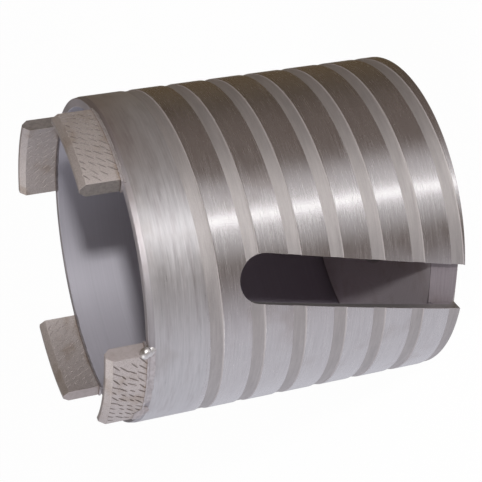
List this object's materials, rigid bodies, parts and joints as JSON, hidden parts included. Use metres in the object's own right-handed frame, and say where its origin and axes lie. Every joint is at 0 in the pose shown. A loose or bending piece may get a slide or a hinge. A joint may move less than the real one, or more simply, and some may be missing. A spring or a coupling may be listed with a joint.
{
  "type": "box hole cutter",
  "caption": "Dry core cutter for round box recesses: slotted steel barrel with a helical groove, brazed cutting segments on the front rim and a threaded drive hub behind.",
  "frame": {"origin": "centre of the drive hub's rear end face, on the barrel's axis", "axes": "+Z along the barrel's axis from the drive hub towards the cutting segments; the middle of the slanted slot faces -Y"},
  "size_m": [0.0671, 0.067, 0.0823],
  "materials": {
    "barrel_steel": "turned and brushed round the barrel, matte in the helical groove",
    "plate_steel": "faced steel, dull",
    "hub_steel": "turned steel",
    "weld_metal": "rippled weld bead",
    "segment_matrix": "sintered metal with rows of short impressed dashes",
    "silver_braze": "lumpy silver solder"
  },
  "bodies": {
    "root": {"barrel": "barrel_steel", "back_plate": "plate_steel", "plate_weld": "weld_metal", "drive_hub": "hub_steel", "hub_weld": "weld_metal", "segment_1": "segment_matrix", "segment_2": "segment_matrix", "segment_3": "segment_matrix", "segment_4": "segment_matrix", "braze_1": "silver_braze", "braze_2": "silver_braze", "braze_3": "silver_braze", "braze_4": "silver_braze"}
  },
  "joints": []
}
